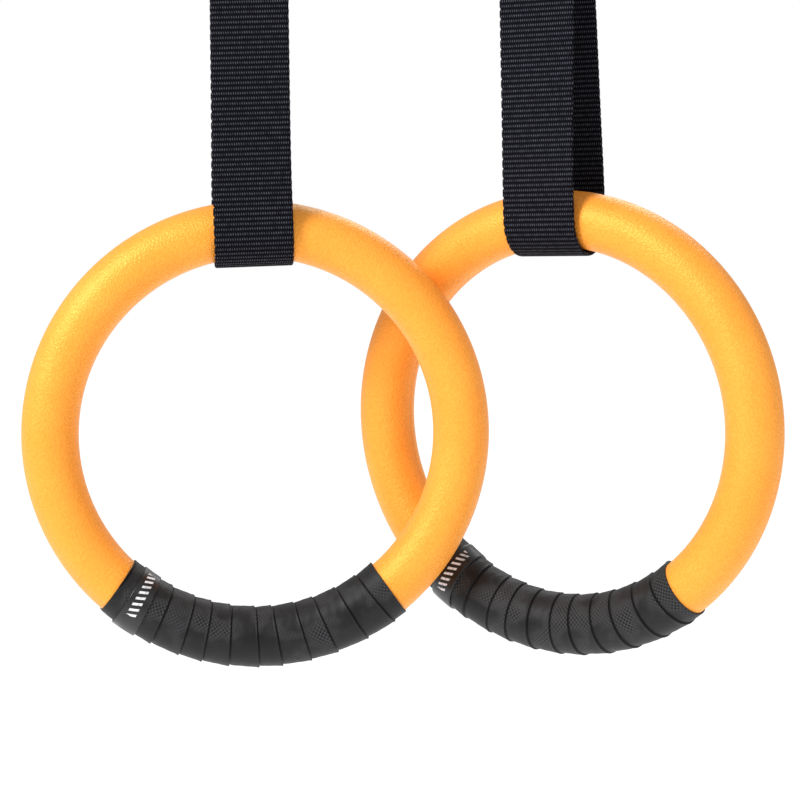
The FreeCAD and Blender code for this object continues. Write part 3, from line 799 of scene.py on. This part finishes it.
def spring(side):
    """The cam's torsion spring as one wound wire."""
    low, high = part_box(side + "_cam_spring")
    middle = (low + high) / 2
    wire = 0.45 * MM
    radius = (high[2] - low[2]) / 2 - wire
    turns, steps = 4, 28
    count = turns * steps + 1
    line = []
    for i in range(count):
        a = 2 * math.pi * i / steps
        share = i / (count - 1)
        x = low[0] + wire + (high[0] - low[0] - 2 * wire) * share
        line.append((x, middle[1] + radius * math.cos(a), middle[2] + radius * math.sin(a)))
    line = np.array(line)
    ahead = np.gradient(line, axis=0)
    ahead /= np.linalg.norm(ahead, axis=1)[:, None]
    out = line - np.stack([line[:, 0], np.full(count, middle[1]), np.full(count, middle[2])], axis=1)
    out /= np.linalg.norm(out, axis=1)[:, None]
    other = np.cross(ahead, out)
    angles = np.linspace(0, 2 * math.pi, 10, endpoint=False)
    across = np.cos(angles)[None, :, None] * out[:, None, :]
    across = across + np.sin(angles)[None, :, None] * other[:, None, :]
    grid = line[:, None, :] + wire * across
    piece = capped_tube(side + "_wound_spring", grid, np.zeros((count, 10, 2)))
    return finish_piece(piece, side + "_strap", "spring_steel", side + "_cam_spring")


def keeper(side):
    """The keeper as a soft-edged ribbed band."""
    low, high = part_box(side + "_strap_keeper")
    wall = 1.2 * MM
    corner_radius = 1.6 * MM
    loop = []
    corners = [(high[0], low[1], -90), (high[0], high[1], 0), (low[0], high[1], 90), (low[0], low[1], 180)]
    for x, y, first in corners:
        cx = x - corner_radius if x == high[0] else x + corner_radius
        cy = y + corner_radius if y == low[1] else y - corner_radius
        for k in range(7):
            a = math.radians(first + 15 * k)
            loop.append((cx, cy, math.cos(a), math.sin(a)))
    # Straight stretches get points of their own, so that the ribs are drawn evenly.
    full = []
    for i, here in enumerate(loop):
        there = loop[(i + 1) % len(loop)]
        full.append(here)
        gap_x = there[0] - here[0] + corner_radius * (there[2] - here[2])
        gap_y = there[1] - here[1] + corner_radius * (there[3] - here[3])
        extra = int(math.hypot(gap_x, gap_y) / (0.6 * MM))
        for k in range(1, extra):
            share = k / extra
            full.append(tuple(a + (b - a) * share for a, b in zip(here, there)))
    full = np.array(full)
    normal = full[:, 2:] / np.linalg.norm(full[:, 2:], axis=1)[:, None]
    outer = full[:, :2] + corner_radius * normal
    run = np.concatenate([[0], np.cumsum(np.linalg.norm(np.diff(outer, axis=0), axis=1))])
    ribs = 0.14 * MM * (1 - np.abs(np.sin(run * math.pi / (1.7 * MM))))
    heights = np.linspace(low[2], high[2], 9)
    points, uv = [], []
    section = [(z, 0.0) for z in heights] + [(z, wall) for z in heights[::-1]]
    for i in range(len(full)):
        for n, (z, depth) in enumerate(section):
            corner = 0.25 * MM if n in (0, 8) else 0.0
            sunk = (ribs[i] if depth == 0 else 0.0) + corner + depth
            p = outer[i] - normal[i] * sunk
            points.append((p[0], p[1], z))
            uv.append((z, run[i]))
    faces = grid_faces(len(full), len(section), closed_rows=True)
    faces = [f[::-1] for f in faces]
    piece = mesh_piece(side + "_keeper_band", points, faces, uv)
    return finish_piece(piece, side + "_strap", "webbing", side + "_strap_keeper")


# The tab's middle plane in the cam's own plane, from the cam's axle: where it leaves the cam, and its tip.
TAB_ROOT = np.array([0.0, -4.84, -1.76]) * MM
TAB_TIP = np.array([0.0, -17.0, -35.0]) * MM
TAB_THICK = 3.0 * MM
RIDGE_SUNK = 0.35 * MM


def tab_ridges(side):
    """The raised bars across the cam's tab that the fingers push on."""
    pivot = np.array(joints[side + "_cam_release"]["pos_m"])
    ahead = (TAB_TIP - TAB_ROOT) / np.linalg.norm(TAB_TIP - TAB_ROOT)
    out = np.array([0.0, ahead[2], -ahead[1]])
    face = TAB_THICK / 2 - RIDGE_SUNK
    points, faces = [], []
    for i in range(6):
        middle = pivot + TAB_TIP - ahead * (2.2 + 2.6 * i) * MM + out * face
        reach = np.array([15.5 * MM, 0, 0])
        p, f = capsule(middle - reach, middle + reach, 0.85 * MM, rings=25, sides=12, taper=0.02)
        faces += [tuple(k + len(points) for k in one) for one in f]
        points += p
    return finish_piece(mesh_piece(side + "_tab_ridges", points, faces), side + "_cam", "cam_metal")


def carried_over(side):
    """The metal pieces keep their CAD shapes and get their materials."""
    slots = {
        "buckle_frame": "buckle_steel",
        "webbing_pin": "pin_steel",
        "cam_pin": "pin_steel",
        "cam_lever": "cam_metal",
    }
    for node, slot in slots.items():
        obj = frame["nodes"][f"{side}_{node}"]
        obj.data.materials.clear()
        obj.data.materials.append(MATERIALS[slot])


for side in SIDES:
    ring = Ring(side)
    ring_shell(side, ring, True)
    ring_shell(side, ring, False)
    grip_tape(side, ring, TAPE_TURNED[side], TAPE_SEED[side])
    finishing_strip(side, ring, TAPE_TURNED[side])
    straps(side, ring)
    stitches(side)
    spring(side)
    keeper(side)
    tab_ridges(side)
    carried_over(side)


# ------------------------------------------------------------------ floor, light and camera


FLOOR_HEIGHT = -1.35


def stage():
    """A wide pale floor, far below the rings."""
    material, tree, shader = new_material("pale_floor", (0.93, 0.93, 0.93), 0.9)
    shader.inputs["Emission Color"].default_value = (1, 1, 1, 1)
    shader.inputs["Emission Strength"].default_value = 0.5
    half = 14.0
    corners = [(x, y, FLOOR_HEIGHT) for x, y in ((-half, -half), (half, -half), (half, half), (-half, half))]
    floor = mesh_piece("floor", corners, [(0, 1, 2, 3)])
    floor.data.materials.append(material)


def area_light(name, place, aim, size, power):
    light = bpy.data.lights.new(name, "AREA")
    light.shape = "DISK"
    light.size = size
    light.energy = power
    obj = new_object(name, light)
    obj.location = place
    obj.rotation_euler = (Vector(aim) - Vector(place)).to_track_quat("-Z", "Y").to_euler()


def lights():
    world = bpy.data.worlds.new("studio")
    bpy.context.scene.world = world
    world.use_nodes = True
    tree = world.node_tree
    background = tree.nodes["Background"]
    background.inputs[0].default_value = (1, 1, 1, 1)
    background.inputs[1].default_value = 0.60
    seen = add(tree, "ShaderNodeBackground")
    seen.inputs[0].default_value = (1, 1, 1, 1)
    seen.inputs[1].default_value = 1.0
    mix = add(tree, "ShaderNodeMixShader")
    tree.links.new(add(tree, "ShaderNodeLightPath").outputs["Is Camera Ray"], mix.inputs[0])
    tree.links.new(background.outputs[0], mix.inputs[1])
    tree.links.new(seen.outputs[0], mix.inputs[2])
    tree.links.new(mix.outputs[0], tree.nodes["World Output"].inputs["Surface"])
    middle = (0, 0, -0.35)
    area_light("key", (-1.25, -1.0, 0.75), middle, 0.7, 40)
    area_light("fill", (1.4, -1.6, 0.1), middle, 1.2, 5)
    area_light("rim", (0.6, 1.5, 0.8), middle, 1.0, 10)


CAMERA_PLACE = Vector((-0.04706, -1.06734, 0.13086))  # from the middle of the two ring centres
CAMERA_TURN, CAMERA_TILT, CAMERA_ROLL = 2.27, 6.19, -1.9
CAMERA_LENS, CAMERA_SENSOR = 95.5, 36


def camera():
    """The camera looks slightly down on both rings, with a small roll."""
    centres = [Ring(side).centre for side in SIDES]
    middle = (centres[0] + centres[1]) / 2
    data = bpy.data.cameras.new("camera")
    data.lens = CAMERA_LENS
    data.sensor_width = CAMERA_SENSOR
    data.clip_end = 60
    obj = new_object("camera", data)
    turn, tilt, roll = (math.radians(a) for a in (CAMERA_TURN, CAMERA_TILT, CAMERA_ROLL))
    seen = Matrix.Rotation(roll, 3, "Y") @ Matrix.Rotation(tilt, 3, "X") @ Matrix.Rotation(turn, 3, "Z")
    right, ahead, up = seen[0], seen[1], seen[2]
    turned = Matrix((right, up, -Vector(ahead))).transposed()
    place = Vector(middle) + CAMERA_PLACE
    obj.matrix_world = Matrix.Translation(place) @ turned.to_4x4()
    bpy.context.scene.camera = obj


stage()
lights()
camera()
bpy.context.scene.view_settings.view_transform = "Standard"
bpy.context.view_layer.update()
